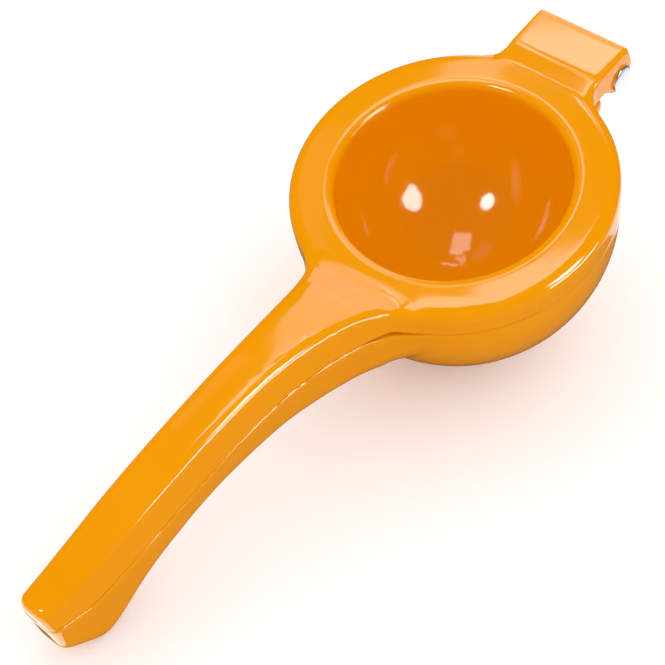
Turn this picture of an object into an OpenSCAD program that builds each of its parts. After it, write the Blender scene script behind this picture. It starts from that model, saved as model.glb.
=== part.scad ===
// Hinged lemon squeezer: two enamelled aluminium castings on one steel rivet.
// The castings are drawn about the ring: its axis is +Z, its top is z = 0, the hinge
// lies towards +X and the handles towards -X. Everything is then set down on the table
// (z = 0), where the closed squeezer rests on the bowl's flat and the handle's heel.

/* [Ring] */
// Outer diameter of the ring
ring_d = 88; // [84:1:94]
// Height of the ring's side wall
ring_h = 7.8; // [7:0.2:9]
// Rounding of the ring's outer top edge
ring_edge_r = 3; // [2:0.5:4]
// Fall of the ring's top from its outer to its inner edge
ring_dish = 0.3; // [0.1:0.1:0.6]
// Thickness of the ring's top plate
ring_plate = 4; // [3.5:0.5:5]
// Thickness of the ring's outer wall
ring_wall = 4; // [3:0.5:4.5]

/* [Press cup] */
// Inner diameter of the cup
cup_d = 63.4; // [61:0.2:65]
// Depth of the cup below the ring's top
cup_depth = 37.5; // [35:0.5:40]
// Wall of the cup
cup_wall = 3; // [2.5:0.1:3.3]
// Rounding of the cup's lip
cup_lip_r = 2; // [1:0.5:2.5]

/* [Bowl] */
// Wall of the bowl
bowl_wall = 3; // [2.6:0.1:3.4]
// How far the bowl's rim lies inside the ring's outer edge
rim_step = 0.3; // [0.2:0.1:0.6]
// Height of the bowl's straight wall, between the rim and the round bottom
rim_h = 4; // [2:0.5:5]
// Diameter of the flat that the bowl stands on
foot_d = 18; // [14:1:20]
// Diameter of a drain hole
drain_d = 4.5; // [3.5:0.5:5]
// Distance of the inner drain holes from the middle
drain_inner = 12; // [11:0.5:13]
// Distance of the outer drain holes from the middle
drain_outer = 22; // [20:0.5:24]

/* [Handles] */
// Distance from the ring's axis to the tip of the handles
handle_reach = 156; // [146:1:166]
// Height of the handles' arch above the ring
arch_rise = 14.9; // [11:0.5:17]
// Width of the upper handle's flat top in the grip
grip_w = 12.6; // [11:0.2:15]
// How far the neck's root reaches into the ring
neck_root = 10; // [9:0.5:11]
// Width of the upper handle where it leaves the ring
neck_w = 25.2; // [23:0.2:28]
// Thickness of the upper handle
arm_t = 10; // [9:0.5:11]
// Thickness of the lower handle in the grip
grip_t = 11.7; // [10:0.1:13]
// Thickness of the lower handle where it leaves the bowl
neck_t = 20.5; // [18:0.5:21]
// Thickness of the lower handle at the heel
heel_t = 20; // [18:0.5:22]
// Widening of each handle from its outer face to the seam, on each side
draft = 1.2; // [0.6:0.1:1.8]
// Rounding of the upper handle's top edges
grip_edge_r = 2.5; // [2:0.5:3.5]
// Rounding of the lower handle's bottom edges
belly_r = 5; // [4:0.5:5.5]
// Rounding of the handles' ends
tip_r = 2.6; // [1.5:0.1:3.5]
// Length of the slanting end under the tip
heel_len = 12.5; // [11:0.5:14]
// Height of the slanting end under the tip
heel_rise = 12; // [10:0.5:13]

/* [Hinge] */
// Distance from the ring's axis to the rivet
pin_reach = 56.8; // [55:0.2:60]
// Depth of the rivet's axis below the ring's top
pin_drop = 7.8; // [7.4:0.1:8.6]
// Diameter of the rivet
pin_d = 5; // [4:0.5:5.5]
// Diameter of the rivet's heads
head_d = 7.6; // [6.6:0.2:8]
// Height of the straight edge of the rivet's heads
head_edge = 0.7; // [0.4:0.1:1]
// Height of the crown on the rivet's heads
head_h = 0.4; // [0.2:0.1:0.8]
// Width of the hinge tab over its two ears
tab_w = 29; // [27:0.2:31]
// Distance that the tab's end edge lies past the rivet
tab_end = 4.4; // [3.6:0.2:5]
// Height of the tab's ridge above the ring's top
tab_rise = 0.9; // [0.4:0.1:1.5]
// Width of the lug between the ears
lug_w = 14; // [12:0.5:16]
// Radius of the ears around the rivet
knuckle_r = 5; // [4.8:0.1:5.4]
// How far the shoulder under the ears stands out from the bowl
shoulder_out = 4.3; // [3.5:0.1:4.5]
// Height of the shoulder on the bowl's wall
shoulder_h = 16; // [13:1:18]
// Height of the lug on the bowl's wall
lug_h = 20; // [18:1:22]

/* [Fits] */
// Gap between the two castings where they meet
seam_gap = 0.3; // [0.2:0.1:0.4]
// Extra gap at the neck, where light shows between the handles
wedge_gap = 1.2; // [0.6:0.1:1.4]
// Gap on each side of the lug
side_gap = 0.3; // [0.2:0.05:0.4]
// Running clearance of the rivet in the lug, on the radius
pin_play = 0.05; // [0.03:0.01:0.08]

/* [Hidden] */
$fn = 96;
enamel = "orange";
steel = "silver";
skin = 0.01;                               // overlap that fuses solids of one piece
ring_r = ring_d / 2;
cup_r = cup_d / 2;
cup_z = cup_r - cup_depth;                 // height of the cup's sphere centre
bowl_r = ring_r - rim_step;
bowl_z = -ring_h - rim_h;                  // height of the bowl's sphere centre
rim_z = -ring_h - seam_gap;
pin_z = -pin_drop;
far = 200;                                 // longer than any piece
lip_z = -ring_dish - cup_lip_r;            // centre of the lip's rounding
lip_x = cup_r + cup_lip_r;

// Smooth curve through a table of [share of the handle, value]
function step_of(tab, t, i = 0) =
    i >= len(tab) - 2 || t < tab[i + 1][0] ? i : step_of(tab, t, i + 1);
function slope(tab, i) =
    let (a = max(i - 1, 0), b = min(i + 1, len(tab) - 1))
    (tab[b][1] - tab[a][1]) / (tab[b][0] - tab[a][0]);
function smooth(tab, t) =
    let (i = step_of(tab, t), w = tab[i + 1][0] - tab[i][0], u = (t - tab[i][0]) / w)
    tab[i][1] * (2 * pow(u, 3) - 3 * pow(u, 2) + 1)
    + slope(tab, i) * w * (pow(u, 3) - 2 * pow(u, 2) + u)
    + tab[i + 1][1] * (3 * pow(u, 2) - 2 * pow(u, 3))
    + slope(tab, i + 1) * w * (pow(u, 3) - pow(u, 2));

// Shapes of the handles: share 0 is the ring's edge, share 1 the tip
root_t = -neck_root / (handle_reach - ring_r);
rise_shape = [[root_t, -0.05], [-0.055, -0.02], [-0.036, 0.035], [-0.018, 0.1], [0.01, 0.23],
              [0.1, 0.52], [0.19, 0.73], [0.32, 0.92], [0.5, 1], [0.68, 0.97], [0.86, 0.89], [1, 0.87]];
flare_shape = [[root_t, 3.05], [-0.055, 2.33], [-0.018, 1.57], [0.01, 1.08], [0.055, 0.72],
               [0.1, 0.53], [0.19, 0.29], [0.32, 0.1], [0.5, 0.02], [0.7, -0.02], [0.86, -0.12], [1, -0.28]];
neck_fade = [[root_t, 1], [0.01, 1], [0.1, 0.82], [0.19, 0.62], [0.32, 0.3], [0.5, 0.03],
             [0.62, 0], [1, 0]];
heel_fade = [[root_t, 0], [0.5, 0], [0.62, 0.01], [0.76, 0.24], [0.88, 0.8], [1, 1]];
wedge_shape = [[root_t, 0], [0, 0.3], [0.02, 1], [0.05, 0.6], [0.08, 0], [1, 0]];
arm_shape = [[root_t, 0], [0, 0.35], [0.04, 1], [1, 1]];
heel_shape = [[0, 0], [0.2, 0.06], [0.4, 0.27], [0.7, 0.64], [1, 1]];

function top_line(t) = arch_rise * smooth(rise_shape, t);
function half_line(t) = grip_w / 2 + (neck_w - grip_w) / 2 * smooth(flare_shape, t);
function seam_line(t) = max(top_line(t), 0) - ring_h - (arm_t - ring_h) * smooth(arm_shape, t);
function belly_line(t) = seam_line(t) - grip_t
    - (neck_t - grip_t) * smooth(neck_fade, t) - (heel_t - grip_t) * smooth(heel_fade, t);
function along(t) = ring_r + t * (handle_reach - ring_r);

// The squeezer stands on the bowl's flat and on the heel. The table's plane is tangent to
// both, which gives the tilt of the ring and its height.
foot_h = sqrt(pow(bowl_r, 2) - pow(foot_d / 2, 2));
heel_trim = 0.2;                           // depth of the flat worn on the heel
heel_start = 1 - heel_len / (handle_reach - ring_r);
heel_x = along(heel_start) + heel_len / 8;
heel_z = belly_line(heel_start) + heel_trim;
stand_tilt = asin(foot_h / norm([heel_x, heel_z - bowl_z])) - atan2(bowl_z - heel_z, heel_x);
stand_h = foot_h - bowl_z * cos(stand_tilt);
stand_x = bowl_z * sin(stand_tilt);

// Quarter round of a section: from the side (angle 0) to the top (angle 90)
round_steps = 6;
function quarter(y, z, r, up) =
    [for (k = [0 : round_steps]) let (a = 90 * k / round_steps) [y + r * cos(a), z + up * r * sin(a)]];
function mirrored(half) =
    concat(half, [for (k = [len(half) - 1 : -1 : 0]) [-half[k][0], half[k][1]]]);
function belly_round(t) = min(neck_t * 0.9, belly_r + (half_line(t) - grip_w / 2) * 1.05);

// Outline of each handle across its length at share t: half of it, from seam to middle
crown = 0.25;                              // height of the slight crown on the flat faces
function upper_half(t) =
    let (w = half_line(t), z = top_line(t))
    concat([[w + draft, seam_line(t) + seam_gap / 2]],
           quarter(w - grip_edge_r, z - grip_edge_r, grip_edge_r, 1),
           [[(w - grip_edge_r) / 2, z + crown * 0.75]]);
function lower_half(t) =
    let (w = half_line(t), z = belly_line(t), r = belly_round(t), y = w + draft / 2 - r)
    concat([[w + draft, seam_line(t) - seam_gap / 2 - wedge_gap * smooth(wedge_shape, t)]],
           quarter(y, z + r, r, -1), [[y / 2, z - crown * 0.75]]);

// The last stretch closes the end. There the belly rises on the slant of the heel, and the
// top and the sides draw in on the round of the tip.
body_steps = 30;
heel_steps = 10;
function placed(half, d, side) = [for (p = mirrored(half)) [-d, side * p[0], p[1]]];
function half_at(upper, t) = upper ? upper_half(t) : lower_half(t);
function squeezed(half, t, rise, cut) =
    let (top = top_line(t), low = belly_line(t), w = half_line(t) + draft)
    [for (p = half) [p[0] * (1 - cut / w),
                     low + rise + (p[1] - low) * (top - cut - low - rise) / (top - low)]];
function rings(upper) = let (side = upper ? 1 : -1) concat(
    [for (k = [0 : body_steps]) let (t = root_t + (heel_start - root_t) * k / body_steps)
        placed(half_at(upper, t), along(t), side)],
    [for (k = [1 : heel_steps])
        let (u = sin(90 * k / heel_steps), t = heel_start + (1 - heel_start) * u,
             past = max(0, along(t) - handle_reach + tip_r))
        placed(squeezed(half_at(upper, t), t, heel_rise * smooth(heel_shape, u),
                        tip_r - sqrt(pow(tip_r, 2) - pow(past, 2))), along(t), side)]);

// Solid through a list of rings, each with the same number of points
module loft(rings) {
    n = len(rings[0]);
    m = len(rings);
    points = [for (r = rings) each r];
    sides = [for (k = [0 : m - 2], i = [0 : n - 1])
        let (j = (i + 1) % n) each [[k * n + i, k * n + j, (k + 1) * n + j],
                                    [k * n + i, (k + 1) * n + j, (k + 1) * n + i]]];
    caps = [[for (i = [n - 1 : -1 : 0]) i], [for (i = [0 : n - 1]) (m - 1) * n + i]];
    polyhedron(points, concat(sides, caps), convexity = 6);
}

module on_table() {
    translate([stand_x, 0, stand_h]) rotate([0, -stand_tilt, 0]) children();
}

// Extrusion of an X-Z outline across the hinge, width w about the middle
module across(w) {
    translate([0, w / 2, 0]) rotate([90, 0, 0]) linear_extrude(w) children();
}

module at_pin() {
    translate([pin_reach, 0, pin_z]) rotate([90, 0, 0]) children();
}

// Ring: half of its section, flat top with a slight dish, rounded outside
module ring_section() {
    difference() {
        translate([0, -ring_h]) square([ring_r, ring_h]);
        translate([ring_r - ring_edge_r, -ring_edge_r]) difference() {
            square(ring_edge_r + skin);
            circle(ring_edge_r);
        }
        polygon([[0, -ring_dish], [lip_x, -ring_dish], [ring_r - ring_edge_r, 0],
                 [ring_r - ring_edge_r, 1], [0, 1]]);
        translate([0, -ring_h - 1]) square([ring_r - ring_wall, ring_h + 1 - ring_plate]);
    }
}

// Cup: half of its section to radius r, a round bottom under a straight wall up to height top
module cup_section(r, top) {
    intersection() {
        translate([0, cup_z]) circle(r);
        translate([0, -far]) square([far, far + cup_z]);
    }
    translate([0, cup_z]) square([r, top - cup_z]);
}

module cup_outside() {
    rotate_extrude() cup_section(cup_r + cup_wall, -ring_dish);
}

// The cup's inside opens at the lip, which rounds into the ring's top
module cup_inside() {
    rotate_extrude() {
        cup_section(cup_r, 1);
        difference() {
            translate([0, lip_z]) square([lip_x, 1 - lip_z]);
            translate([lip_x, lip_z]) circle(cup_lip_r);
        }
    }
}

// Hinge tab. Its side outline has the ears with their round ends, and a tip past the rivet
crease_x = ring_r + 2.6;
tab_x = pin_reach + tab_end;
tab_edge_r = 1.5;
tab_corner_r = 2;
tab_end_z = tab_rise * 0.7;
tab_tilt = atan2(tab_rise - tab_end_z, tab_x - crease_x);
ear_tip = [knuckle_r * 1.2, knuckle_r * 0.12];   // from the rivet's axis
end_top = [tab_x, tab_end_z - tab_edge_r];
end_tilt = atan2(pin_reach + ear_tip[0] - end_top[0], end_top[1] - pin_z - ear_tip[1]);
function around_pin(r, a) = [pin_reach + r * cos(a), pin_z + r * sin(a)];
module tab_side() {
    back_x = pin_reach - knuckle_r * sqrt(2);
    polygon([[ring_r - 2 * ring_edge_r, -ring_edge_r / 6], [crease_x, tab_rise],
             [tab_x - tab_edge_r, tab_end_z], end_top, [pin_reach, pin_z] + ear_tip,
             around_pin(knuckle_r * 0.8, -20), around_pin(knuckle_r * 0.97, -135),
             [back_x, pin_z], [back_x, -ring_h], [ring_r - 2 * ring_edge_r, -ring_h]]);
    translate([tab_x - tab_edge_r, tab_end_z - tab_edge_r]) circle(tab_edge_r);
    translate([pin_reach, pin_z]) circle(knuckle_r);
}

// Front outline of the tab, with rounded upper edges
module tab_front() {
    flat = tab_w / 2 - tab_edge_r;
    translate([-tab_w / 2, -far / 4]) square([tab_w, far / 4 - tab_edge_r]);
    translate([-flat, -far / 4]) square([2 * flat, far / 4]);
    for (side = [-1, 1]) translate([side * flat, -tab_edge_r]) circle(tab_edge_r);
}

// Plan outline of the tab, back from its end face, with round corners
module tab_plan() {
    flat = tab_w / 2 - tab_corner_r;
    translate([-far, -tab_w / 2]) square([far - tab_corner_r, tab_w]);
    translate([-far, -flat]) square([far, 2 * flat]);
    for (side = [-1, 1]) translate([-tab_corner_r, side * flat]) circle(tab_corner_r);
}

// Concave rounds in plan where the tab leaves the ring
tab_fillet_r = 6.5;
module tab_fillets() {
    y = tab_w / 2 + tab_fillet_r;
    x = sqrt(pow(ring_r + tab_fillet_r, 2) - pow(y, 2));
    half = y * ring_r / (ring_r + tab_fillet_r);
    translate([0, 0, -ring_h]) linear_extrude(ring_h - tab_edge_r / 2) difference() {
        translate([ring_r - 2 * ring_edge_r, -half]) square([x - ring_r + 2 * ring_edge_r, 2 * half]);
        for (side = [-1, 1]) translate([x, side * y]) circle(tab_fillet_r);
    }
}

// Space between the ears, where the lug turns
lug_r = knuckle_r - 0.2;
module lug_space() {
    across(lug_w + 2 * side_gap) {
        translate([pin_reach, pin_z]) circle(knuckle_r + side_gap);
        polygon([[pin_reach + far / 4, pin_z], [pin_reach, pin_z + knuckle_r + side_gap],
                 [ring_r + ring_wall * 0.3, pin_z + lug_r / 6], [ring_r + ring_wall * 0.3, -far / 4],
                 [pin_reach + far / 4, -far / 4]]);
    }
}

module hinge_tab() {
    difference() {
        intersection() {
            across(tab_w) tab_side();
            translate([crease_x, 0, tab_rise]) rotate([0, tab_tilt, 0])
                rotate([90, 0, 90]) linear_extrude(far, center = true) tab_front();
            translate([end_top[0], 0, end_top[1]]) rotate([0, -end_tilt, 0])
                linear_extrude(far, center = true) tab_plan();
        }
        lug_space();
    }
}

module press_arm() color(enamel) on_table() {
    difference() {
        union() {
            rotate_extrude() ring_section();
            cup_outside();
            hinge_tab();
            difference() {
                tab_fillets();
                lug_space();
            }
            loft(rings(true));
        }
        cup_inside();
        at_pin() cylinder(h = far, d = pin_d, center = true);
    }
}

// Lower hinge bracket: a shoulder under the ears and the lug that reaches the rivet
bracket_x = bowl_r - 2 * bowl_wall;
module shoulder() {
    difference() {
        across(tab_w) polygon([[bracket_x, rim_z], [bowl_r + shoulder_out, rim_z],
                               [bowl_r + shoulder_out * 1.1, rim_z - shoulder_h / 5],
                               [bracket_x, rim_z - shoulder_h]]);
        at_pin() cylinder(h = far, r = norm(ear_tip) + 2 * side_gap, center = true);
    }
}

module lug() {
    across(lug_w) {
        translate([pin_reach, pin_z]) circle(lug_r);
        polygon([around_pin(lug_r, 143), [bowl_r + shoulder_out / 2, rim_z - lug_r / 5],
                 [bracket_x, rim_z - bowl_wall], [bracket_x, rim_z - lug_h], around_pin(lug_r, -72)]);
    }
}

module bowl_round(r) {
    translate([0, 0, bowl_z]) sphere(r);
    translate([0, 0, bowl_z]) cylinder(h = rim_h + 1, r = r);
}

module drain_holes() {
    rows = [[0, 1, 0], [drain_inner, 6, 30], [drain_outer, 12, 15]];
    for (row = rows, k = [0 : row[1] - 1])
        rotate(row[2] + 360 * k / row[1]) translate([row[0], 0, -far])
            cylinder(h = far + bowl_z - bowl_r / 2, d = drain_d);
}

module bowl_arm() color(enamel) difference() {
    on_table() difference() {
        union() {
            bowl_round(bowl_r);
            shoulder();
            lug();
            loft(rings(false));
        }
        bowl_round(bowl_r - bowl_wall);
        translate([0, 0, rim_z]) cylinder(h = far, r = ring_r + side_gap);
        drain_holes();
        at_pin() cylinder(h = far, r = pin_d / 2 + pin_play, center = true);
    }
    translate([-far, -far / 2, -far]) cube([2 * far, far, far]);
}

// Rivet: a plain shank with a flat round head at each side
module rivet_head() {
    dome_r = (pow(head_d / 2, 2) + pow(head_h, 2)) / (2 * head_h);
    intersection() {
        translate([0, 0, head_edge + head_h - dome_r]) sphere(dome_r);
        cylinder(h = head_edge + head_h + 1, d = head_d);
    }
}

module hinge_pin() color(steel) on_table() at_pin() {
    cylinder(h = tab_w, d = pin_d, center = true);
    for (side = [0, 180]) rotate([side, 0, 0]) translate([0, 0, tab_w / 2]) rivet_head();
}

press_arm();
bowl_arm();
hinge_pin();
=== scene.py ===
"""Looks of the hinged lemon squeezer: two smooth enamelled castings and a bright steel rivet.

The castings are modelled about the ring (its axis is Z, its top is z = 0, the hinge lies towards +X
and the handles towards -X) and are then set down on the table, as the CAD frame stands.
"""
import logging
import math
from dataclasses import dataclass, field
from enum import Enum

import bmesh
import bpy
from mathutils import Matrix, Vector


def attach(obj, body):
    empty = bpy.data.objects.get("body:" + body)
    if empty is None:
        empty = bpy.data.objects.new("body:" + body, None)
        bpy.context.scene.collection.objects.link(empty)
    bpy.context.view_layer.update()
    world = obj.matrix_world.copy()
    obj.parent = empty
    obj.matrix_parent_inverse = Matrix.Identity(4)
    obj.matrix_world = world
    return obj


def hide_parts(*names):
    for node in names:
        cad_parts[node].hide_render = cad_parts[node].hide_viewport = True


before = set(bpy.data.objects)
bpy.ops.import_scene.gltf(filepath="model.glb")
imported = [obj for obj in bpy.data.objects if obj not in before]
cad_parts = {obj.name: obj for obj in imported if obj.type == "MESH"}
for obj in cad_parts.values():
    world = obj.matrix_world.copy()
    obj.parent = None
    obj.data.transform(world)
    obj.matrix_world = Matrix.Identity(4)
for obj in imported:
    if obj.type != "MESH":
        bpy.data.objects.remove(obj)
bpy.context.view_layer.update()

MM = 0.001
CLOSE = 1e-6
CUTTER_WIDTH, CUTTER_DEPTH, CUTTER_OVER = 130.0, 60.0, 10.0
SKIN_PASSES = 8
VOXEL, QUICK_VOXEL, BOWL_COARSER = 0.64, 1.0, 1.15
Point = tuple[float, float]
Triple = tuple[float, float, float]
Table = list[Point]
log = logging.getLogger("squeezer")


class Casting(Enum):
    """The two castings; the value is the side of the seam that each lies on."""

    UPPER = 1
    LOWER = -1


class Body(Enum):
    """The CAD bodies that pieces ride on."""

    BOWL = "bowl"
    PRESS = "press"


class Slot(Enum):
    """Names of the material slots."""

    ENAMEL = "enamel"
    STEEL = "steel"


# ---------------------------------------------------------------- small helpers

def deselect_all() -> None:
    """Leaves nothing selected and no object in edit mode."""
    if bpy.context.object and bpy.context.object.mode != "OBJECT":
        bpy.ops.object.mode_set(mode="OBJECT")
    bpy.ops.object.select_all(action="DESELECT")


def make_active(piece: bpy.types.Object) -> None:
    """Selects one object alone and makes it the active one.

    Args:
        piece: the object to work on.
    """
    deselect_all()
    piece.select_set(True)
    bpy.context.view_layer.objects.active = piece


def arc(centre: Point, radius: float, start: float, end: float, steps: int) -> list[Point]:
    """Points of a circular arc.

    Args:
        centre: centre of the circle, in mm.
        radius: its radius, in mm.
        start: first angle, in degrees.
        end: last angle, in degrees.
        steps: number of stretches between the points.

    Returns:
        steps + 1 points from the first angle to the last.
    """
    turns = [math.radians(start + (end - start) * k / steps) for k in range(steps + 1)]
    return [(centre[0] + radius * math.cos(a), centre[1] + radius * math.sin(a)) for a in turns]


def smooth_curve(table: Table, at: float) -> float:
    """Smooth curve through the points of a table.

    Args:
        table: pairs of place and value, in rising order of place.
        at: the place to read.

    Returns:
        The curve's value at that place.
    """
    last = len(table) - 1
    i = max(k for k in range(last) if k == 0 or table[k][0] <= at)

    def slope(k: int) -> float:
        """Slope of the curve at one point of the table.

        Args:
            k: the point's number.

        Returns:
            The slope.
        """
        a, b = max(k - 1, 0), min(k + 1, last)
        return (table[b][1] - table[a][1]) / (table[b][0] - table[a][0])

    width = table[i + 1][0] - table[i][0]
    u = (at - table[i][0]) / width
    return (table[i][1] * (2 * u**3 - 3 * u**2 + 1) + slope(i) * width * (u**3 - 2 * u**2 + u)
            + table[i + 1][1] * (3 * u**2 - 2 * u**3) + slope(i + 1) * width * (u**3 - u**2))


# ---------------------------------------------------------------- modelling by hand

def start_line(name: str, first: Vector) -> bpy.types.Object:
    """Adds a small plane and merges it to one vertex, from which an outline is drawn.

    Args:
        name: the new object's name.
        first: where the outline starts, in metres.

    Returns:
        The object, in edit mode, with its vertex selected.
    """
    deselect_all()
    bpy.ops.mesh.primitive_plane_add(size=MM, location=first)
    piece = bpy.context.object
    piece.name = name
    bpy.ops.object.transform_apply(location=True)
    bpy.ops.object.mode_set(mode="EDIT")
    bpy.ops.mesh.merge(type="CENTER")
    return piece


def draw_on(points: list[Vector]) -> None:
    """Extrudes the selected vertex from point to point; the first point is where it is.

    Args:
        points: the outline's points, in metres.
    """
    for here, there in zip(points, points[1:]):
        bpy.ops.mesh.extrude_vertices_move(TRANSFORM_OT_translate={"value": there - here})


def spun(name: str, half: list[Point], steps: int) -> bpy.types.Object:
    """Spins half of a section about the Z axis into a closed solid.

    Args:
        name: the new object's name.
        half: the section's points as (radius, height), in mm, from axis to axis.
        steps: number of steps of the full turn.

    Returns:
        The solid, in object mode.
    """
    points = [Vector((x, 0, z)) * MM for x, z in half]
    piece = start_line(name, points[0])
    draw_on(points)
    bpy.ops.mesh.select_all(action="SELECT")
    bpy.ops.mesh.spin(steps=steps, angle=2 * math.pi, center=(0, 0, 0), axis=(0, 0, 1))
    tidy_shell()
    return piece


def tidy_shell() -> None:
    """Merges doubles, turns all faces outwards and leaves edit mode."""
    bpy.ops.mesh.select_all(action="SELECT")
    bpy.ops.mesh.remove_doubles(threshold=0.002 * MM)
    bpy.ops.mesh.normals_make_consistent(inside=False)
    bpy.ops.object.mode_set(mode="OBJECT")


def slab(name: str, outline: list[Vector], depth: Vector) -> bpy.types.Object:
    """Draws a closed outline, fills it and extrudes it.

    Args:
        name: the new object's name.
        outline: the outline's points, in metres.
        depth: the extrusion, in metres.

    Returns:
        The solid, in object mode.
    """
    piece = start_line(name, outline[0])
    draw_on(outline)
    bpy.ops.mesh.select_all(action="SELECT")
    bpy.ops.mesh.edge_face_add()
    bpy.ops.mesh.extrude_region_move(TRANSFORM_OT_translate={"value": depth})
    tidy_shell()
    return piece


def across(name: str, outline: list[Point], width: float) -> bpy.types.Object:
    """Extrudes a side outline across the hinge, the same width to both sides.

    Args:
        name: the new object's name.
        outline: points as (x, z), in mm.
        width: the whole width, in mm.

    Returns:
        The solid, in object mode.
    """
    points = [Vector((x, -width / 2, z)) * MM for x, z in outline]
    return slab(name, points, Vector((0, width * MM, 0)))


def swept(name: str, sections: list[list[Vector]]) -> bpy.types.Object:
    """Extrudes a section from station to station and sets it on each one's outline.

    Args:
        name: the new object's name.
        sections: outlines with the same number of points, in metres.

    Returns:
        The closed solid, in object mode.
    """
    deselect_all()
    bpy.ops.mesh.primitive_circle_add(vertices=len(sections[0]), radius=MM, fill_type="NGON")
    piece = bpy.context.object
    piece.name = name
    bpy.ops.object.mode_set(mode="EDIT")
    mesh = bmesh.from_edit_mesh(piece.data)
    mesh.verts.ensure_lookup_table()
    for vertex, place in zip(mesh.verts, sections[0]):
        vertex.co = place
    for here, there in zip(sections, sections[1:]):
        bpy.ops.mesh.extrude_region_move()
        mesh = bmesh.from_edit_mesh(piece.data)
        for vertex in [v for v in mesh.verts if v.select]:
            nearest = min(range(len(here)), key=lambda k: (here[k] - vertex.co).length_squared)
            vertex.co = there[nearest]
        bmesh.update_edit_mesh(piece.data)
    tidy_shell()
    return piece


def pipe(name: str, radius: float, length: float, centre: Vector, sides: int = 48) -> bpy.types.Object:
    """A plain round cutter along Y.

    Args:
        name: the new object's name.
        radius: its radius, in mm.
        length: its length, in mm.
        centre: its middle, in metres.
        sides: number of its sides.

    Returns:
        The solid, in object mode.
    """
    deselect_all()
    bpy.ops.mesh.primitive_cylinder_add(vertices=sides, radius=radius * MM, depth=length * MM,
                                        location=centre, rotation=(math.pi / 2, 0, 0))
    bpy.context.object.name = name
    bpy.ops.object.transform_apply(location=True, rotation=True)
    return bpy.context.object


def joined(name: str, pieces: list[bpy.types.Object]) -> bpy.types.Object:
    """Joins objects into one.

    Args:
        name: the name that the joined object gets.
        pieces: the objects to join.

    Returns:
        The one object.
    """
    make_active(pieces[0])
    for piece in pieces:
        piece.select_set(True)
    if len(pieces) > 1:
        bpy.ops.object.join()
    bpy.context.object.name = name
    return bpy.context.object


def cut(piece: bpy.types.Object, *tools: bpy.types.Object) -> None:
    """Cuts solids out of a piece and removes them.

    Args:
        piece: the solid to cut.
        tools: the solids that cut it.
    """
    for tool in tools:
        make_active(piece)
        step = piece.modifiers.new("cut", "BOOLEAN")
        step.operation = "DIFFERENCE"
        step.solver = "EXACT"
        step.object = tool
        bpy.ops.object.modifier_apply(modifier=step.name)
        bpy.data.objects.remove(tool)


def share(value: float, low: float, high: float) -> float:
    """How far a value lies between two limits.

    Args:
        value: the value.
        low: the limit where the share is 0.
        high: the limit where it is 1.

    Returns:
        The share, held between 0 and 1.
    """
    return min(max((value - low) / (high - low), 0.0), 1.0)


def fuse(piece: bpy.types.Object, voxel: float, passes: int = SKIN_PASSES) -> None:
    """Fuses the shells of a piece into one cast skin with soft corners.

    Args:
        piece: the joined shells.
        voxel: size of the skin's mesh, in mm.
        passes: how often the skin is smoothed.
    """
    make_active(piece)
    skin = piece.modifiers.new("skin", "REMESH")
    skin.mode = "VOXEL"
    skin.voxel_size = voxel * MM
    bpy.ops.object.modifier_apply(modifier=skin.name)
    soften = piece.modifiers.new("soften", "SMOOTH")
    soften.factor = 0.5
    soften.iterations = passes
    bpy.ops.object.modifier_apply(modifier=soften.name)
    bpy.ops.object.shade_smooth()


def crisp(piece: bpy.types.Object, angle: float = 40) -> None:
    """Shades a piece smooth, with crisp edges where it was cut.

    Args:
        piece: the finished skin.
        angle: the angle between faces from which an edge is crisp, in degrees.
    """
    make_active(piece)
    bpy.ops.object.shade_smooth_by_angle(angle=math.radians(angle))


# ---------------------------------------------------------------- shared shapes

@dataclass
class RingSizes:
    """Sizes that both castings share, in mm; spare is what is modelled past the seam and cut off."""

    radius: float = 44.0
    height: float = 7.8
    edge_r: float = 3.0
    dish: float = 0.03
    plate: float = 4.0
    wall: float = 4.0
    cup_r: float = 31.7
    cup_depth: float = 37.5
    cup_wall: float = 3.0
    lip_r: float = 2.0
    bowl_wall: float = 3.0
    rim_step: float = 0.3
    rim_h: float = 4.0
    seam_gap: float = 0.3
    pin_x: float = 56.8
    pin_z: float = -7.8
    knuckle_r: float = 5.0
    tab_w: float = 29.0
    lug_w: float = 14.0
    side_gap: float = 0.3
    lug_play: float = 0.2
    spare: float = 1.5

    @property
    def rim_z(self) -> float:
        """Height of the bowl's rim."""
        return -self.height - self.seam_gap

    @property
    def bowl_r(self) -> float:
        """Outer radius of the bowl."""
        return self.radius - self.rim_step

    @property
    def bowl_z(self) -> float:
        """Height of the centre of the bowl's round bottom."""
        return -self.height - self.rim_h

    @property
    def lug_r(self) -> float:
        """Radius of the lug's round end."""
        return self.knuckle_r - self.lug_play

    @property
    def pin(self) -> Vector:
        """The rivet's middle, in metres."""
        return Vector((self.pin_x, 0, self.pin_z)) * MM


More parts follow.
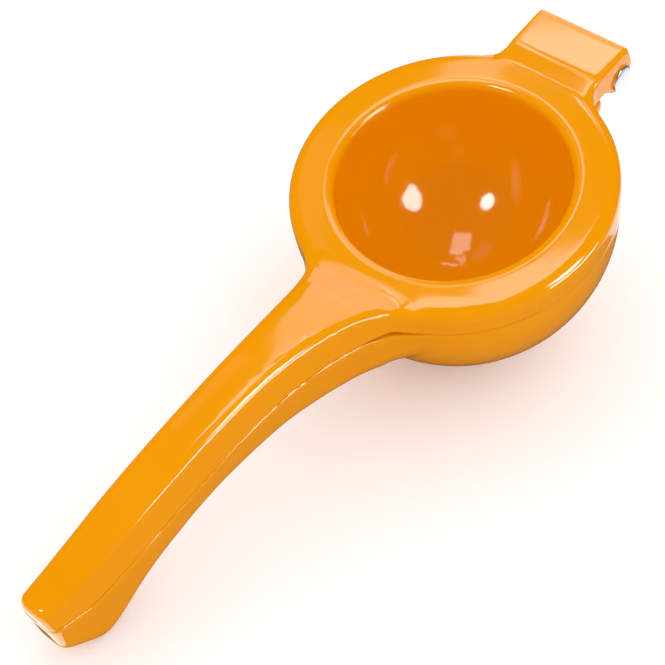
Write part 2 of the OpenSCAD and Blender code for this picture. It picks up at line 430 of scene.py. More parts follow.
@dataclass
class HandleShape:
    """The arch of the two handles; share 0 is the ring's edge and share 1 the tip. Sizes in mm.

    Each table has pairs of share and value: rise of the arch, flare of the width, fades of neck and
    heel, opening of the wedge at the neck, and thickness of the arm. heel goes along the last stretch.
    """

    ring: RingSizes
    reach: float = 156.0
    arch: float = 14.9
    grip_w: float = 12.6
    neck_w: float = 25.2
    arm_t: float = 10.0
    grip_t: float = 11.7
    neck_t: float = 20.5
    heel_t: float = 20.0
    draft: float = 1.2
    edge_r: float = 2.5
    belly_r: float = 5.0
    belly_wider: float = 1.05
    belly_limit: float = 0.9
    tip_r: float = 2.6
    heel_len: float = 12.5
    heel_rise: float = 12.0
    wedge_gap: float = 1.3
    wedge_upper: float = 0.75
    level_until: float = -0.05
    gap_less: float = 0.7
    gap_fade: Point = (0.3, 0.55)
    cup_room_r: float = 36.5
    past_ring: float = 0.05
    past_tip: float = 8.0
    crown: float = 0.05
    crown_side: float = 0.75
    root: float = -0.09
    corner_steps: int = 12
    stations: int = 180
    end_stations: int = 24
    rise: Table = field(default_factory=lambda: [
        (-0.09, -0.045), (-0.071, -0.014), (-0.054, 0.002), (-0.036, 0.03), (-0.018, 0.085),
        (0.01, 0.205), (0.045, 0.352), (0.1, 0.52), (0.19, 0.73), (0.32, 0.92), (0.5, 1),
        (0.68, 0.97), (0.86, 0.89), (1, 0.87)])
    flare: Table = field(default_factory=lambda: [
        (-0.09, 3.05), (-0.055, 2.33), (-0.018, 1.57), (0.01, 1.08), (0.055, 0.72), (0.1, 0.53),
        (0.19, 0.29), (0.32, 0.1), (0.5, 0.02), (0.7, -0.02), (0.86, -0.12), (1, -0.28)])
    neck_fade: Table = field(default_factory=lambda: [
        (-0.09, 1), (0.01, 1), (0.1, 0.82), (0.19, 0.62), (0.32, 0.3), (0.5, 0.03), (0.62, 0), (1, 0)])
    heel_fade: Table = field(default_factory=lambda: [
        (-0.09, 0), (0.5, 0), (0.62, 0.01), (0.76, 0.24), (0.88, 0.8), (1, 1)])
    wedge: Table = field(default_factory=lambda: [
        (-0.09, 0), (-0.055, 0), (-0.03, 0.4), (0, 1), (0.03, 0.9), (0.065, 0.25), (0.09, 0), (0.15, 0),
        (1, 0)])
    arm: Table = field(default_factory=lambda: [(-0.09, 0), (0, 0.35), (0.04, 1), (1, 1)])
    heel: Table = field(default_factory=lambda: [(0, 0), (0.2, 0.06), (0.4, 0.27), (0.7, 0.64), (1, 1)])

    @property
    def heel_start(self) -> float:
        """Share of the handle where its last stretch starts."""
        return 1 - self.heel_len / (self.reach - self.ring.radius)

    def along(self, t: float) -> float:
        """Distance from the ring's axis at share t.

        Args:
            t: share of the handle.

        Returns:
            The distance, in mm.
        """
        return self.ring.radius + t * (self.reach - self.ring.radius)

    def top(self, t: float) -> float:
        """Height of the upper handle's top.

        Args:
            t: share of the handle.

        Returns:
            The height, in mm.
        """
        return self.arch * smooth_curve(self.rise, t)

    def half(self, t: float) -> float:
        """Half the width of the upper handle's top.

        Args:
            t: share of the handle.

        Returns:
            Half the width, in mm.
        """
        return self.grip_w / 2 + (self.neck_w - self.grip_w) / 2 * smooth_curve(self.flare, t)

    def seam(self, t: float) -> float:
        """Height of the seam between the two handles.

        Args:
            t: share of the handle.

        Returns:
            The height, in mm.
        """
        thinner = (self.arm_t - self.ring.height) * smooth_curve(self.arm, t)
        return max(self.top(t), 0) - self.ring.height - thinner

    def parting(self, t: float, casting: Casting) -> float:
        """Height of a casting's own face at the seam.

        Args:
            t: share of the handle; below 0 it lies under the ring.
            casting: whose face it is.

        Returns:
            The height, in mm.
        """
        level = self.seam(t) if t > self.level_until else (self.ring.rim_z - self.ring.height) / 2
        gap = self.ring.seam_gap / 2 * (1 - self.gap_less * share(t, *self.gap_fade))
        part = self.wedge_upper if casting is Casting.UPPER else 1 - self.wedge_upper
        opening = self.wedge_gap * max(smooth_curve(self.wedge, t), 0) * part
        return level + casting.value * (gap + opening)

    def seam_cutter(self) -> bpy.types.Object:
        """The room below the upper casting's seam, which gives it a crisp edge there.

        Returns:
            The cutter; it leaves out the press cup.
        """
        line = [(-self.along(t), self.lifted(t, self.parting(t, Casting.UPPER), rise, draw_in))
                for t, rise, draw_in in reversed(self.rows())]
        start, end = line[0][0] - self.past_tip, self.ring.radius + self.past_ring
        cutter = across("seam", [(start, line[0][1])] + line + [
            (end, self.parting(self.root, Casting.UPPER)), (end, -CUTTER_DEPTH), (start, -CUTTER_DEPTH)],
            CUTTER_WIDTH)
        r, low, high = self.cup_room_r, -CUTTER_DEPTH - CUTTER_OVER, 2 * CUTTER_OVER
        cut(cutter, spun("cup_room", [(0, low), (r, low), (r, high), (0, high)], 96))
        return cutter

    def belly(self, t: float) -> float:
        """Height of the lower handle's bottom.

        Args:
            t: share of the handle.

        Returns:
            The height, in mm.
        """
        neck = (self.neck_t - self.grip_t) * smooth_curve(self.neck_fade, t)
        heel = (self.heel_t - self.grip_t) * smooth_curve(self.heel_fade, t)
        return self.seam(t) - self.grip_t - neck - heel

    def outline(self, t: float, casting: Casting) -> list[Point]:
        """Half of a handle's cross-section.

        Args:
            t: share of the handle.
            casting: whose handle it is.

        Returns:
            Points as (half width, height), from the seam to the middle.
        """
        w, crown = self.half(t), self.crown * self.crown_side
        if casting is Casting.UPPER:
            z, r = self.top(t), self.edge_r
            return ([(w + self.draft, self.seam(t) - self.ring.spare)]
                    + arc((w - r, z - r), r, 0, 90, self.corner_steps) + [((w - r) / 2, z + crown)])
        wider = (w - self.grip_w / 2) * self.belly_wider
        r = min(self.neck_t * self.belly_limit, self.belly_r + wider)
        y, z = w + self.draft / 2 - r, self.belly(t)
        return ([(w + self.draft, self.parting(t, casting))]
                + arc((y, z + r), r, 0, -90, self.corner_steps) + [(y / 2, z - crown)])

    def lifted(self, t: float, z: float, rise: float, draw_in: float) -> float:
        """A height near the tip, where the belly rises and the corners draw in.

        Args:
            t: share of the handle.
            z: the height without rise and draw-in, in mm.
            rise: how far the belly has risen, in mm.
            draw_in: how far top and sides have drawn in, in mm.

        Returns:
            The height, in mm.
        """
        top, low = self.top(t), self.belly(t)
        return low + rise + (z - low) * (top - draw_in - low - rise) / (top - low)

    def rows(self) -> list[Triple]:
        """Stations from the ring to the tip as (share, rise of the belly, draw-in of the corners).

        Returns:
            The stations; rise and draw-in in mm.
        """
        start = self.heel_start
        rows = [(self.root + (start - self.root) * k / self.stations, 0.0, 0.0)
                for k in range(self.stations + 1)]
        for k in range(1, self.end_stations + 1):
            u = math.sin(math.pi / 2 * k / self.end_stations)
            t = start + (1 - start) * u
            past = max(0, self.along(t) - self.reach + self.tip_r)
            rows.append((t, self.heel_rise * smooth_curve(self.heel, u),
                         self.tip_r - math.sqrt(max(self.tip_r**2 - past**2, 0))))
        return rows

    def sections(self, casting: Casting) -> list[list[Vector]]:
        """All sections of a handle, in metres.

        Args:
            casting: whose handle it is.

        Returns:
            Closed outlines from the ring to the tip.
        """
        made = []
        for t, rise, draw_in in self.rows():
            narrower = 1 - draw_in / (self.half(t) + self.draft)
            half = [(y * narrower, self.lifted(t, z, rise, draw_in))
                    for y, z in self.outline(t, casting)]
            whole = half + [(-y, z) for y, z in reversed(half)]
            made.append([Vector((-self.along(t), y, z)) * MM for y, z in whole])
        return made


@dataclass
class Stand:
    """How the closed squeezer stands: the table touches the bowl's flat and the worn heel. In mm."""

    ring: RingSizes
    shape: HandleShape
    foot_d: float = 18.0
    heel_trim: float = 0.2

    def matrix(self) -> Matrix:
        """Returns the placement from the ring's frame to the table's, in metres."""
        bowl_z, share = self.ring.bowl_z, self.shape.heel_start
        foot_h = math.sqrt(self.ring.bowl_r**2 - (self.foot_d / 2) ** 2)
        heel_x = self.shape.along(share) + self.shape.heel_len / 8
        heel_z = self.shape.belly(share) + self.heel_trim
        tilt = (math.asin(foot_h / math.hypot(heel_x, heel_z - bowl_z))
                - math.atan2(bowl_z - heel_z, heel_x))
        place = Vector((bowl_z * math.sin(tilt), 0, foot_h - bowl_z * math.cos(tilt)))
        return Matrix.Translation(place * MM) @ Matrix.Rotation(-tilt, 4, "Y")

    def place(self, piece: bpy.types.Object) -> None:
        """Sets a piece down on the table and keeps its place in its mesh.

        Args:
            piece: the piece, modelled about the ring.
        """
        make_active(piece)
        piece.matrix_world = self.matrix() @ piece.matrix_world
        bpy.ops.object.transform_apply(location=True, rotation=True, scale=True)


# ---------------------------------------------------------------- finishes

class Tree:
    """A material's node tree, with short ways to add nodes and links."""

    def __init__(self, name: str) -> None:
        """Makes a material with a Principled shader.

        Args:
            name: the material's name.
        """
        self.material = bpy.data.materials.new(name)
        self.material.use_nodes = True
        self.nodes = self.material.node_tree.nodes
        self.links = self.material.node_tree.links
        self.shader = self.nodes["Principled BSDF"]

    def add(self, kind: str, **values: object) -> bpy.types.Node:
        """Adds a node.

        Args:
            kind: the node's type name.
            values: properties to set; a key with a leading underscore sets an input socket.

        Returns:
            The new node.
        """
        node = self.nodes.new(kind)
        for key, value in values.items():
            if key.startswith("_"):
                node.inputs[key[1:].replace("_", " ")].default_value = value
            else:
                setattr(node, key, value)
        return node

    def link(self, source: bpy.types.NodeSocket, target: bpy.types.NodeSocket) -> None:
        """Links two sockets.

        Args:
            source: the output.
            target: the input.
        """
        self.links.new(source, target)


def mottle_group() -> bpy.types.ShaderNodeTree:
    """A soft cast mottle: two scales of noise on Object coordinates.

    Returns:
        A node group with inputs Scale and Fine Scale, and outputs Patches and Grain.
    """
    group = bpy.data.node_groups.new("cast_mottle", "ShaderNodeTree")
    group.interface.new_socket("Scale", in_out="INPUT", socket_type="NodeSocketFloat")
    group.interface.new_socket("Fine Scale", in_out="INPUT", socket_type="NodeSocketFloat")
    group.interface.new_socket("Patches", in_out="OUTPUT", socket_type="NodeSocketFloat")
    group.interface.new_socket("Grain", in_out="OUTPUT", socket_type="NodeSocketFloat")
    place = group.nodes.new("ShaderNodeTexCoord")
    entry, leave = group.nodes.new("NodeGroupInput"), group.nodes.new("NodeGroupOutput")
    for scale, out, detail in (("Scale", "Patches", 2.0), ("Fine Scale", "Grain", 3.0)):
        noise = group.nodes.new("ShaderNodeTexNoise")
        noise.inputs["Detail"].default_value = detail
        group.links.new(place.outputs["Object"], noise.inputs["Vector"])
        group.links.new(entry.outputs[scale], noise.inputs["Scale"])
        group.links.new(noise.outputs["Fac"], leave.inputs[out])
    return group


@dataclass(frozen=True)
class Enamel:
    """Glossy stove enamel on cast aluminium."""

    name: str = "orange_enamel"
    deep: Triple = (0.9, 0.318, 0.0)
    light: Triple = (0.94, 0.343, 0.0)
    rough_low: float = 0.06
    rough_high: float = 0.11
    patch_scale: float = 45.0
    grain_scale: float = 900.0
    bump: float = 0.03
    bump_depth: float = 0.0002
    edge_round: float = 0.0004

    def make(self, mottle: bpy.types.ShaderNodeTree) -> bpy.types.Material:
        """Builds the material.

        Args:
            mottle: the shared mottle group.

        Returns:
            The material.
        """
        tree = Tree(self.name)
        cast = tree.add("ShaderNodeGroup", node_tree=mottle)
        cast.inputs["Scale"].default_value = self.patch_scale
        cast.inputs["Fine Scale"].default_value = self.grain_scale
        tint = tree.add("ShaderNodeMix", data_type="RGBA")
        for socket in tint.inputs:
            if socket.type == "RGBA":
                tone = self.deep if socket.identifier.startswith("A") else self.light
                socket.default_value = (*tone, 1)
        tree.link(cast.outputs["Patches"], tint.inputs["Factor"])
        tree.link(next(s for s in tint.outputs if s.type == "RGBA"), tree.shader.inputs["Base Color"])
        rough = tree.add("ShaderNodeMapRange", _To_Min=self.rough_low, _To_Max=self.rough_high)
        tree.link(cast.outputs["Patches"], rough.inputs["Value"])
        tree.link(rough.outputs["Result"], tree.shader.inputs["Roughness"])
        bump = tree.add("ShaderNodeBump", _Strength=self.bump, _Distance=self.bump_depth)
        worn = tree.add("ShaderNodeBevel", samples=8, _Radius=self.edge_round)
        tree.link(worn.outputs["Normal"], bump.inputs["Normal"])
        tree.link(cast.outputs["Grain"], bump.inputs["Height"])
        tree.link(bump.outputs["Normal"], tree.shader.inputs["Normal"])
        return tree.material


@dataclass(frozen=True)
class BrightSteel:
    """Bright plain steel with faint turning marks."""

    name: str = "bright_steel"
    color: Triple = (0.82, 0.82, 0.84)
    rough_low: float = 0.16
    rough_high: float = 0.3
    patch_scale: float = 300.0
    grain_scale: float = 2500.0
    bump: float = 0.05
    bump_depth: float = 0.0001

    def make(self, mottle: bpy.types.ShaderNodeTree) -> bpy.types.Material:
        """Builds the material.

        Args:
            mottle: the shared mottle group.

        Returns:
            The material.
        """
        tree = Tree(self.name)
        marks = tree.add("ShaderNodeGroup", node_tree=mottle)
        marks.inputs["Scale"].default_value = self.patch_scale
        marks.inputs["Fine Scale"].default_value = self.grain_scale
        rough = tree.add("ShaderNodeMapRange", _To_Min=self.rough_low, _To_Max=self.rough_high)
        tree.link(marks.outputs["Grain"], rough.inputs["Value"])
        tree.link(rough.outputs["Result"], tree.shader.inputs["Roughness"])
        bump = tree.add("ShaderNodeBump", _Strength=self.bump, _Distance=self.bump_depth)
        tree.link(marks.outputs["Patches"], bump.inputs["Height"])
        tree.link(bump.outputs["Normal"], tree.shader.inputs["Normal"])
        tree.shader.inputs["Base Color"].default_value = (*self.color, 1)
        tree.shader.inputs["Metallic"].default_value = 1.0
        return tree.material


# ---------------------------------------------------------------- the castings and the rivet

def dress(piece: bpy.types.Object, finish: bpy.types.Material, slot: str, body: str,
          *nodes: str) -> None:
    """Gives a piece its finish, its body and the CAD nodes that it stands for.

    Args:
        piece: the finished piece.
        finish: its material.
        slot: not used.
        body: the CAD body that it rides on.
        nodes: the CAD nodes that it replaces.
    """
    piece.data.materials.clear()
    piece.data.materials.append(finish)
    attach(piece, body)
    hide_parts(*nodes)
    log.info("%s: %d faces", piece.name, len(piece.data.polygons))


@dataclass(frozen=True)
class RootBlend:
    """Where the neck's top blends into the ring's; places and distances from the ring's axis, in mm."""

    band: float = 2.5
    start: float = 25.0
    end: float = 66.0
    end_fade: float = 10.0
    edge: Point = (0.5, 2.2)
    cup: Point = (34.5, 36.5)
    reach: Point = (26.0, 32.0)
    passes: float = 30.0


@dataclass
class PressCasting:
    """The upper casting: ring, press cup, neck, handle and hinge tab with two ears.

    The ears' tip and back are given in parts of the knuckle's radius, their arc in degrees.
    """

    ring: RingSizes
    shape: HandleShape
    stand: Stand
    voxel: float
    crease_x: float = 46.6
    tab_end: float = 4.4
    tab_rise: float = 0.9
    tab_low: float = 0.7
    tab_edge_r: float = 1.5
    ear_tip: Point = (1.2, 0.12)
    ear_back: float = 1.41
    ear_arc: Point = (-8.0, -135.0)
    room_wall: float = 0.3
    fillet_r: float = 6.5
    turn_steps: int = 360
    cup_steps: tuple[int, int] = (64, 60)
    blend: RootBlend = RootBlend()

    @property
    def tab_start(self) -> float:
        """Where tab and fillets start, inside the ring's edge."""
        return self.ring.radius - 2 * self.ring.edge_r

    def ring_half(self) -> list[Point]:
        """Half of the section through ring and cup, from the cup's inside to its outside."""
        g = self.ring
        cup_z = g.cup_r - g.cup_depth
        lip_z = -g.dish - g.lip_r
        outer = g.cup_r + g.cup_wall
        inner_wall = g.radius - g.wall
        low = -g.height - g.spare
        return (arc((0, cup_z), g.cup_r, -90, 0, self.cup_steps[0])
                + arc((g.cup_r + g.lip_r, lip_z), g.lip_r, 180, 90, 12)
                + arc((g.radius - g.edge_r, -g.edge_r), g.edge_r, 90, 0, 14)
                + [(g.radius, low), (inner_wall, low), (inner_wall, -g.plate), (outer, -g.plate)]
                + arc((0, cup_z), outer, 0, -90, self.cup_steps[1]))

    def tab_outline(self) -> list[Point]:
        """Side outline of the hinge tab with the ears' round ends."""
        g, r = self.ring, self.tab_edge_r
        end, low = g.pin_x + self.tab_end, self.tab_rise * self.tab_low
        tip = (g.pin_x + self.ear_tip[0] * g.knuckle_r, g.pin_z + self.ear_tip[1] * g.knuckle_r)
        start, back = self.tab_start, g.pin_x - self.ear_back * g.knuckle_r
        return ([(start, -g.height), (start, -g.edge_r / 6), (self.crease_x, self.tab_rise)]
                + arc((end - r, low - r), r, 90, 0, 8) + [tip]
                + arc((g.pin_x, g.pin_z), g.knuckle_r, *self.ear_arc, 40) + [(back, -g.height)])

    def tab(self) -> bpy.types.Object:
        """The hinge tab, with rounded edges and the room between its ears."""
        g = self.ring
        piece = across("tab", self.tab_outline(), g.tab_w)
        self.round_edges(piece)
        room_r = g.knuckle_r + g.side_gap
        room_w = g.lug_w + 2 * g.side_gap
        far, low = g.pin_x + CUTTER_DEPTH - CUTTER_OVER, CUTTER_OVER - CUTTER_DEPTH
        wall_x = g.radius + self.room_wall * g.wall
        back = across("back", [(far, g.pin_z), (g.pin_x, g.pin_z + room_r),
                               (wall_x, g.pin_z + g.lug_r / 6), (wall_x, low), (far, low)], room_w)
        cut(piece, pipe("turn", room_r, room_w, g.pin, 64), back)
        return piece

    def round_edges(self, piece: bpy.types.Object) -> None:
        """Bevels the tab's upper long edges and the two upright edges of its end.

        Args:
            piece: the tab.
        """
        g = self.ring
        make_active(piece)
        bpy.ops.object.mode_set(mode="EDIT")
        mesh = bmesh.from_edit_mesh(piece.data)
        side, low_x = g.tab_w / 2 * MM, (self.tab_start + 0.1) * MM
        for part in (mesh.faces, mesh.edges, mesh.verts):
            for item in part:
                item.select = False
        for edge in mesh.edges:
            ends = [v.co for v in edge.verts]
            on_side = all(abs(abs(p.y) - side) < CLOSE for p in ends)
            upper = all(p.z > g.pin_z * MM and p.x > low_x for p in ends)
            lengthwise = abs(ends[0].y - ends[1].y) < CLOSE < (ends[0] - ends[1]).length
            edge.select = on_side and upper and lengthwise
        bmesh.update_edit_mesh(piece.data)
        bpy.ops.mesh.bevel(offset=self.tab_edge_r * MM, segments=6, affect="EDGES")
        tidy_shell()

    def fillets(self) -> bpy.types.Object:
        """Concave rounds in plan where the tab leaves the ring."""
        g, r = self.ring, self.fillet_r
        y = g.tab_w / 2 + r
        x = math.sqrt((g.radius + r) ** 2 - y**2)
        turn = math.degrees(math.atan2(y, x))
        side = arc((x, y), r, 180 + turn, 270, 12)
        outline = side + [(px, -py) for px, py in reversed(side)]
        start = self.tab_start
        outline = [(start, outline[0][1])] + outline + [(start, -outline[0][1])]
        points = [Vector((px, py, -g.height)) * MM for px, py in outline]
        return slab("fillets", points, Vector((0, 0, (g.height - self.tab_edge_r / 2) * MM)))

    def blend_root(self, piece: bpy.types.Object) -> None:
        """Blends the neck's top into the ring's: its height alone is smoothed, away from the edges.

        Args:
            piece: the fused casting.
        """
        b, radius = self.blend, self.ring.radius
        root = piece.vertex_groups.new(name="root")
        for vertex in piece.data.vertices:
            x, y, z = vertex.co / MM
            if z < -b.band or x > -b.start or x < -b.end:
                continue
            half = self.shape.half(max((-x - radius) / (self.shape.reach - radius), self.shape.root))
            if -x < radius:
                half = max(half, math.sqrt(radius**2 - x**2))
            weight = (share(half - abs(y), *b.edge) * share(math.hypot(x, y), *b.cup)
                      * share(-x, *b.reach) * share(b.end + x, 0, b.end_fade))
            if weight > 0:
                root.add([vertex.index], weight, "REPLACE")
        make_active(piece)
        soften = piece.modifiers.new("blend", "SMOOTH")
        soften.factor = 0.5
        soften.iterations = round(b.passes / self.voxel**2)
        soften.use_x = soften.use_y = False
        soften.vertex_group = root.name
        bpy.ops.object.modifier_apply(modifier=soften.name)

    def build(self) -> bpy.types.Object:
        """Models the casting.

        Returns:
            The finished piece.
        """
        ring = spun("ring", self.ring_half(), self.turn_steps)
        handle = swept("handle", self.shape.sections(Casting.UPPER))
        piece = joined("upper_casting", [ring, handle, self.tab(), self.fillets()])
        fuse(piece, self.voxel)
        self.blend_root(piece)
        cut(piece, self.shape.seam_cutter())
        crisp(piece)
        self.stand.place(piece)
        return piece


@dataclass
class BowlCasting:
    """The lower casting: bowl with drain holes, lower handle with its heel, and hinge lug.

    drain_rows has the distance, count and first angle of each row of holes. bracket_in says how far
    the shoulder's upper, lower and rear corners lie inside the bowl's outside.
    """

    ring: RingSizes
    shape: HandleShape
    stand: Stand
    voxel: float
    drain_d: float = 4.5
    drain_depth: Point = (40.0, 45.0)
    shoulder_out: float = 4.3
    shoulder_more: float = 0.4
    shoulder_h: float = 16.0
    bracket_in: Triple = (2.0, 6.0, 7.0)
    turn_r: float = 1.22
    lug_h: float = 20.0
    lug_arc: Point = (143.0, -72.0)
    lug_in: Point = (2.5, 4.0)
    hollow_more: float = 0.4
    table_back: float = -200.0
    table_front: float = 100.0
    table_low: float = -30.0
    drain_rows: tuple[tuple[float, int, float], ...] = ((0, 1, 0), (12, 6, 30), (22, 12, 15))
    turn_steps: int = 360

    def bowl_half(self) -> list[Point]:
        """Half of the bowl's section, from its outside to its inside."""
        g = self.ring
        inner = g.bowl_r - g.bowl_wall
        return (arc((0, g.bowl_z), g.bowl_r, -90, 0, 60) + [(g.bowl_r, g.rim_z), (inner, g.rim_z)]
                + arc((0, g.bowl_z), inner, 0, -90, 56))

    def drain(self, reach: float, turn: float) -> bpy.types.Object:
        """One round cutter for a drain hole.

        Args:
            reach: its distance from the middle, in mm.
            turn: its place round the middle, in degrees.

        Returns:
            The cutter.
        """
        a, (length, below) = math.radians(turn), self.drain_depth
        deselect_all()
        bpy.ops.mesh.primitive_cylinder_add(
            vertices=40, radius=self.drain_d / 2 * MM, depth=length * MM,
            location=Vector((reach * math.cos(a), reach * math.sin(a), self.ring.bowl_z - below)) * MM)
        bpy.ops.object.transform_apply(location=True)
        return bpy.context.object

    def bowl(self) -> bpy.types.Object:
        """The bowl with its drain holes."""
        piece = spun("bowl", self.bowl_half(), self.turn_steps)
        holes = [self.drain(reach, first + 360 * k / count)
                 for reach, count, first in self.drain_rows for k in range(count)]
        cut(piece, joined("drains", holes))
        return piece

    def hollow(self) -> bpy.types.Object:
        """The room inside the bowl and under the ring, as a cutter."""
        g = self.ring
        inner, high = g.bowl_r - g.bowl_wall + self.hollow_more, 4 * CUTTER_OVER
        half = arc((0, g.bowl_z), inner, -90, 0, 40) + [(inner, high), (0, high)]
        return spun("hollow", half, self.turn_steps)

    def bracket(self) -> list[bpy.types.Object]:
        """The shoulder under the ears and the lug between them."""
        g, low = self.ring, self.shoulder_h
        inside, foot, back = (g.bowl_r - depth for depth in self.bracket_in)
        out = g.bowl_r + self.shoulder_out
        shoulder = across("shoulder", [
            (inside, g.rim_z), (out, g.rim_z), (out + self.shoulder_more, g.rim_z - low / 5),
            (foot, g.rim_z - low), (back, g.rim_z - low * 0.8)], g.tab_w)
        cut(shoulder, pipe("turn", self.turn_r * g.knuckle_r + 2 * g.side_gap, CUTTER_DEPTH, g.pin, 64))
        lug = across("lug", arc((g.pin_x, g.pin_z), g.lug_r, *self.lug_arc, 32) + [
            (foot, g.rim_z - self.lug_h), (inside - self.lug_in[0], g.rim_z - self.lug_in[1]),
            (g.bowl_r + self.shoulder_out / 2, g.rim_z - 1)], g.lug_w)
        return [shoulder, lug]

    def build(self) -> bpy.types.Object:
        """Models the casting.

        Returns:
            The finished piece.
        """
        bowl = self.bowl()
        handle = swept("handle", self.shape.sections(Casting.LOWER))
        cut(handle, self.hollow())
        piece = joined("lower_casting", [bowl, handle, *self.bracket()])
        fuse(piece, self.voxel)
        self.stand.place(piece)
        back, front, low = self.table_back, self.table_front, self.table_low
        cut(piece, across("table", [(back, 0), (front, 0), (front, low), (back, low)], CUTTER_WIDTH))
        crisp(piece)
        return piece


@dataclass
class Rivet:
    """The steel rivet with a low round head at each side."""

    ring: RingSizes
    stand: Stand
    shank_d: float = 5.0
    head_d: float = 7.6
    head_edge: float = 0.7
    head_h: float = 0.4
    head_soft: float = 0.15
    dome_part: float = 0.93
    sides: int = 64

    def build(self) -> bpy.types.Object:
        """Models the rivet: half of its section spun about its own axis.

        Returns:
            The finished piece.
        """
        half_w = self.ring.tab_w / 2
        dome = ((self.head_d / 2) ** 2 + self.head_h**2) / (2 * self.head_h)
        edge = math.degrees(math.asin(self.head_d / 2 / dome))
        rim, soft = half_w + self.head_edge, self.head_soft
        side = ([(self.shank_d / 2, half_w), (self.head_d / 2, half_w)]
                + arc((self.head_d / 2 - soft, rim - soft), soft, 0, 90, 4)
                + arc((0, rim + self.head_h - dome), dome, 90 - edge * self.dome_part, 90, 12))
        half = [(x, -z) for x, z in reversed(side)] + side
        piece = spun("rivet", half, self.sides)
        make_active(piece)
        piece.matrix_world = Matrix.Translation(self.ring.pin) @ Matrix.Rotation(math.pi / 2, 4, "X")
        bpy.ops.object.transform_apply(location=True, rotation=True)
        crisp(piece, 35)
        self.stand.place(piece)
        return piece


# ---------------------------------------------------------------- studio

@dataclass
class Camera:
    """The camera: the point it looks at and its distance in mm, its angles in degrees, no shift."""

    aim: Triple = (-51.09, 0.0, 32.44)
    distance: float = 410.02
    azimuth: float = 218.93
    elevation: float = 45.48
    roll: float = 1.71
    lens: float = 86.617
    sensor: float = 36.0
    clip: Point = (0.01, 20.0)

    def build(self) -> None:
        """Sets the scene's camera."""
        data = bpy.data.cameras.new("camera")
        data.lens, data.sensor_width = self.lens, self.sensor
        data.clip_start, data.clip_end = self.clip
        camera = bpy.data.objects.new("camera", data)
        bpy.context.scene.collection.objects.link(camera)
        turn = (Matrix.Rotation(math.radians(self.azimuth + 90), 4, "Z")
                @ Matrix.Rotation(math.radians(90 - self.elevation), 4, "X")
                @ Matrix.Rotation(math.radians(self.roll), 4, "Z"))
        away = Matrix.Translation(Vector((0, 0, self.distance)) * MM)
        camera.matrix_world = Matrix.Translation(Vector(self.aim) * MM) @ turn @ away
        bpy.context.scene.camera = camera


@dataclass
class Panel:
    """A rectangular light that only the glossy reflections show. Sizes in metres."""

    name: str
    pose: Matrix
    size: Point
    radiance: float
    oval: bool = False

    def build(self) -> None:
        """Adds the light; its power follows from its size and radiance."""
        data = bpy.data.lights.new(self.name, "AREA")
        data.shape = "ELLIPSE" if self.oval else "RECTANGLE"
        data.size, data.size_y = self.size
        area = self.size[0] * self.size[1] * (math.pi / 4 if self.oval else 1)
        data.energy = self.radiance * math.pi * area
        light = bpy.data.objects.new(self.name, data)
        bpy.context.scene.collection.objects.link(light)
        light.matrix_world = self.pose
        light.visible_diffuse = light.visible_camera = False


def softbox(name: str, turn: float, rise: float, spread: Point, radiance: float, reach: float = 0.9,
            centre: Triple = (0, 0, 0.04), oval: bool = False) -> Panel:
    """A panel seen from a point of the object in a given direction.

    Args:
        name: its name.
        turn: its direction about Z from +X, in degrees.
        rise: its height above the horizon, in degrees.
        spread: its width and height as seen from that point, in degrees.
        radiance: its brightness.
        reach: its distance, in metres.
        centre: the point that it faces, in metres.
        oval: True for an oval one.

    Returns:
        The panel.
    """
    a, e = math.radians(turn), math.radians(rise)
    way = Vector((math.cos(e) * math.cos(a), math.cos(e) * math.sin(a), math.sin(e)))
    pose = way.to_track_quat("Z", "Y").to_matrix().to_4x4()
    pose.translation = Vector(centre) + way * reach
    width, height = (2 * reach * math.tan(math.radians(x / 2)) for x in spread)
    return Panel(name, pose, (width, height), radiance, oval)


def card(name: str, x: float, y: float, size: Point, radiance: float) -> Panel:
    """A panel just over the table that faces up.

    Args:
        name: its name.
        x: place of its middle, in metres.
        y: the same, across.
        size: its two sides, in metres.
        radiance: its brightness.

    Returns:
        The panel.
    """
    return Panel(name, Matrix.Translation((x, y, MM)) @ Matrix.Rotation(math.pi, 4, "X"), size, radiance)


@dataclass
class Ceiling:
    """A level sheet over the table, with panels along its slanting edge. Sizes in metres."""

    height: float = 0.5
    slant: float = 27.0
    offset: float = 0.1597

    def panel(self, name: str, along: Point, inwards: Point, radiance: float) -> Panel:
        """Lays out one panel.

        Args:
            name: its name.
            along: its first and last place along the slanting edge.
            inwards: its first and last distance from that edge, towards the camera's side.
            radiance: its brightness.

        Returns:
            The panel, facing down.
        """
        turn = Matrix.Rotation(math.radians(self.slant), 4, "Z")
        middle = Vector((sum(along) / 2, self.offset - sum(inwards) / 2, self.height))
        pose = Matrix.Translation(turn @ middle) @ turn
        return Panel(name, pose, (along[1] - along[0], inwards[1] - inwards[0]), radiance)

    def wall(self, name: str, along: float, inwards: Point, radiance: float) -> Panel:
        """Lays out an upright panel that hangs from the sheet to the table, across the slanting edge.

        Args:
            name: its name.
            along: its place along the slanting edge.
            inwards: its first and last distance from that edge.
            radiance: its brightness.

        Returns:
            The panel, facing the object.
        """
        middle = Vector((along, self.offset - sum(inwards) / 2, self.height / 2))
        pose = (Matrix.Rotation(math.radians(self.slant), 4, "Z") @ Matrix.Translation(middle)
                @ Matrix.Rotation(math.pi / 2, 4, "Y"))
        return Panel(name, pose, (self.height, inwards[1] - inwards[0]), radiance)


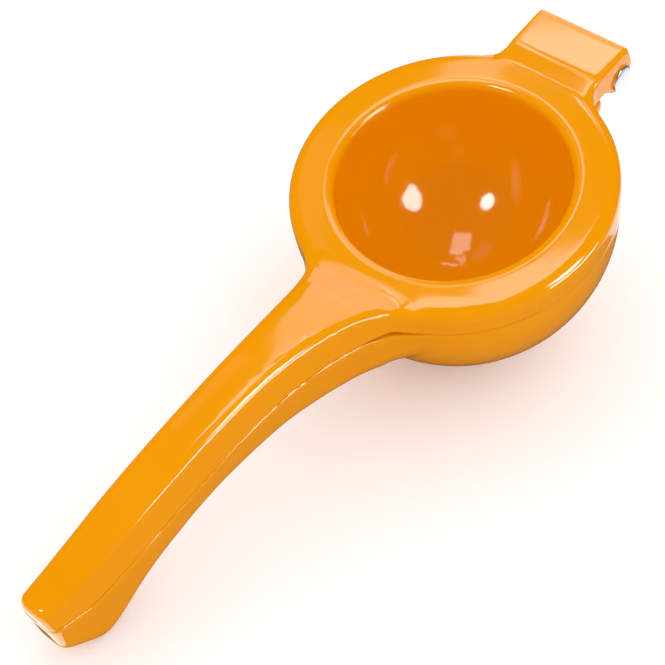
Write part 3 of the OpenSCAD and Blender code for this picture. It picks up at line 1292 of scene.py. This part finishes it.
@dataclass
class Studio:
    """Plain pale floor and soft lights."""

    floor_size: float = 6.0
    floor_tone: float = 0.9
    floor_reflected: float = 0.15
    floor_glow: float = 0.18
    floor_rough: float = 0.9
    ambient: float = 1.06
    recess: Triple = (0.012, 0.015, 0.028)

    def floor(self) -> None:
        """Adds the floor: a large plane with a pale matte material, darker in reflections."""
        deselect_all()
        bpy.ops.mesh.primitive_plane_add(size=self.floor_size, location=(0, 0, 0))
        floor = bpy.context.object
        floor.name = "floor"
        tree = Tree("pale_floor")
        path = tree.add("ShaderNodeLightPath")
        tone = tree.add("ShaderNodeMapRange", _To_Min=self.floor_tone, _To_Max=self.floor_reflected)
        glow = tree.add("ShaderNodeMapRange", _To_Min=0.0, _To_Max=self.floor_glow)
        tree.link(path.outputs["Is Glossy Ray"], tone.inputs["Value"])
        tree.link(tone.outputs["Result"], tree.shader.inputs["Base Color"])
        tree.shader.inputs["Roughness"].default_value = self.floor_rough
        tree.shader.inputs["Specular IOR Level"].default_value = 0.0
        tree.shader.inputs["Emission Color"].default_value = (1, 1, 1, 1)
        tree.link(path.outputs["Is Camera Ray"], glow.inputs["Value"])
        tree.link(glow.outputs["Result"], tree.shader.inputs["Emission Strength"])
        floor.data.materials.append(tree.material)

    def world(self) -> None:
        """Sets the even light from all round, which reflections don't show."""
        world = bpy.data.worlds.new("studio")
        world.use_nodes = True
        back = world.node_tree.nodes["Background"]
        back.inputs["Color"].default_value = (1, 1, 1, 1)
        back.inputs["Strength"].default_value = self.ambient
        world.cycles_visibility.glossy = False
        bpy.context.scene.world = world
        bpy.context.scene.view_settings.view_transform = "Standard"

    def build(self) -> None:
        """Builds floor, world and lights."""
        self.floor()
        self.world()
        ceiling = Ceiling()
        for panel in (
            ceiling.panel("window_near", (-0.06, 0.108), (-0.01, 0.13), 4.5),
            ceiling.panel("window_middle", (0.108, 0.15), (0.035, 0.13), 4.5),
            Panel("link", Matrix.Translation((0.088, 0.13, 0.35)), (0.03, 0.044), 3.0),
            ceiling.panel("window_strip", (0.155, 0.305), (0, 0.035), 2.4),
            ceiling.panel("window_sheet", (0.305, 1.0), (0, 0.26), 1.9),
            ceiling.panel("tab_light", (0.262, 0.305), (0.045, 0.16), 6.0),
            ceiling.wall("far_wall", 1.0, (-0.1, 0.45), 1.5),
            Panel("dim_sheet", Matrix.Translation((-0.005, 0.34, ceiling.height)), (0.2, 0.16), 0.35),
            card("rivet_card", 0.12, -0.055, (0.1, 0.1), 1.0),
            card("end_card", -0.183, 0.022, (0.061, 0.07), 1.9),
            softbox("side_box", -90, 37, (20, 26), 16.0, 0.45, self.recess, True),
            softbox("small_box", 167, 39, (13, 16), 20.0, 0.9, self.recess, True),
            softbox("low_strip", -76, 8, (36, 12), 14.0),
        ):
            panel.build()


def main() -> None:
    """Builds the squeezer and the studio in order."""
    logging.basicConfig(level=logging.INFO, format="%(name)s: %(message)s")
    voxel = VOXEL
    ring, mottle = RingSizes(), mottle_group()
    shape = HandleShape(ring)
    stand = Stand(ring, shape)
    enamel, steel = Enamel().make(mottle), BrightSteel().make(mottle)
    upper = PressCasting(ring, shape, stand, voxel).build()
    dress(upper, enamel, Slot.ENAMEL.value, Body.PRESS.value, "press_arm")
    lower = BowlCasting(ring, shape, stand, voxel * BOWL_COARSER).build()
    dress(lower, enamel, Slot.ENAMEL.value, Body.BOWL.value, "bowl_arm")
    dress(Rivet(ring, stand).build(), steel, Slot.STEEL.value, Body.PRESS.value, "hinge_pin")
    Studio().build()
    Camera().build()


if __name__ == "__main__":
    main()
